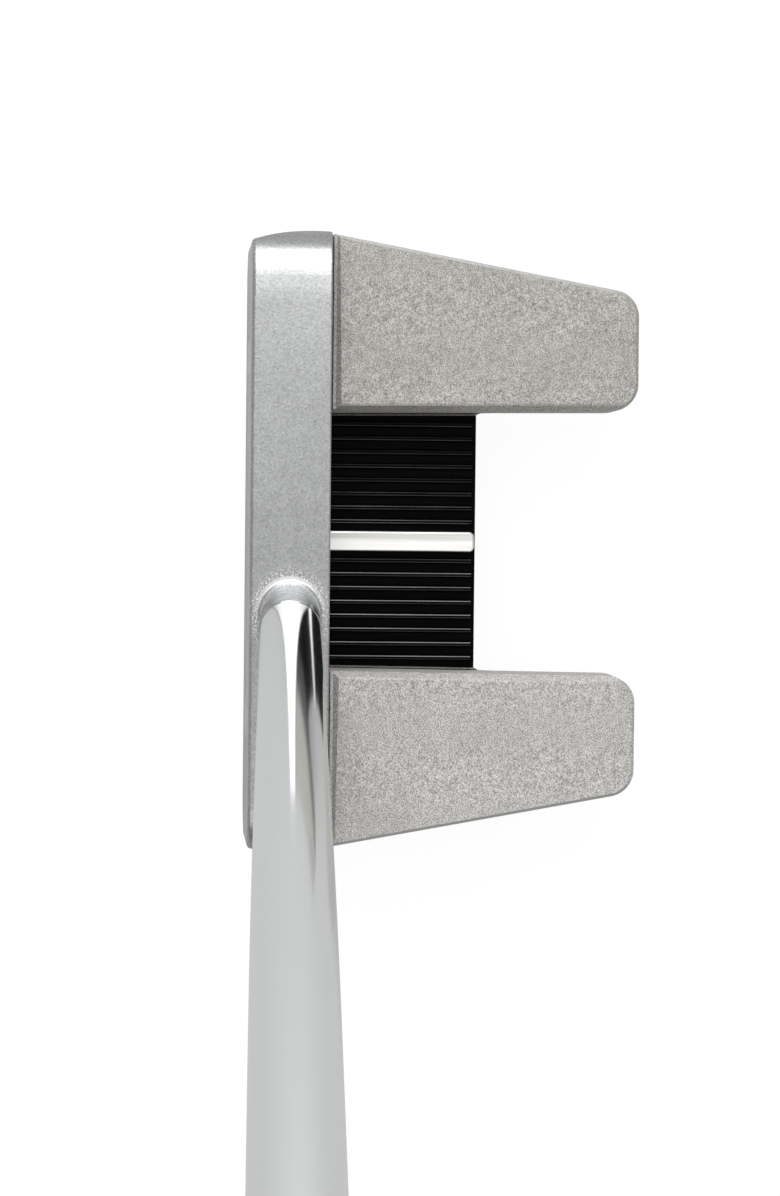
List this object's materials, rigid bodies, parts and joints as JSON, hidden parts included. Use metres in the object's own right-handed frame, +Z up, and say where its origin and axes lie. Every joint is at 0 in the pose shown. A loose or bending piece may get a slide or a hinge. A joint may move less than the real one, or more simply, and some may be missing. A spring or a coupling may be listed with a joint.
{
  "type": "mallet putter",
  "caption": "Right-handed two-winged mallet putter with a satin face bar, black ribbed alignment insert, bright sight rail, straight chrome shaft and rubber pistol grip.",
  "frame": {"origin": "where the shaft's axis meets the flat of the sole, on the sight line", "axes": "+X towards the heel and the golfer, -X towards the toe, -Y towards the target (out of the striking face), +Y towards the rear of the wings, +Z up from the sole"},
  "size_m": [0.3859, 0.0656, 0.8051],
  "materials": {
    "bar_satin": "fine bead-blasted satin nickel over steel",
    "wing_blast": "coarse cast-and-blasted texture",
    "flange_black": "black satin coat on steel",
    "insert_black": "black anodised",
    "rail_bright": "bright polished",
    "pin_steel": "ground steel",
    "screw_steel": "stainless screws with socket recesses",
    "face_plate": "milled",
    "bond_tape": "adhesive film",
    "glue": "cured epoxy",
    "shaft_chrome": "bright chrome plate",
    "grip_tape": "paper-backed tape",
    "grip_rubber": "matt rubber with fine moulded texture",
    "cap_rubber": "smooth moulded rubber"
  },
  "bodies": {
    "root": {"face_bar": "bar_satin", "toe_wing": "wing_blast", "heel_wing": "wing_blast", "centre_flange": "flange_black", "rib_insert": "insert_black", "rib_insert_tape": "bond_tape", "sight_rail": "rail_bright", "rail_pins": "pin_steel", "face_insert": "face_plate", "face_insert_tape": "bond_tape", "wing_screws": "screw_steel", "flange_screws": "screw_steel", "locating_dowels": "pin_steel", "shaft": "shaft_chrome", "shaft_glue": "glue", "grip_tape": "grip_tape", "grip": "grip_rubber", "grip_cap": "cap_rubber"}
  },
  "joints": []
}
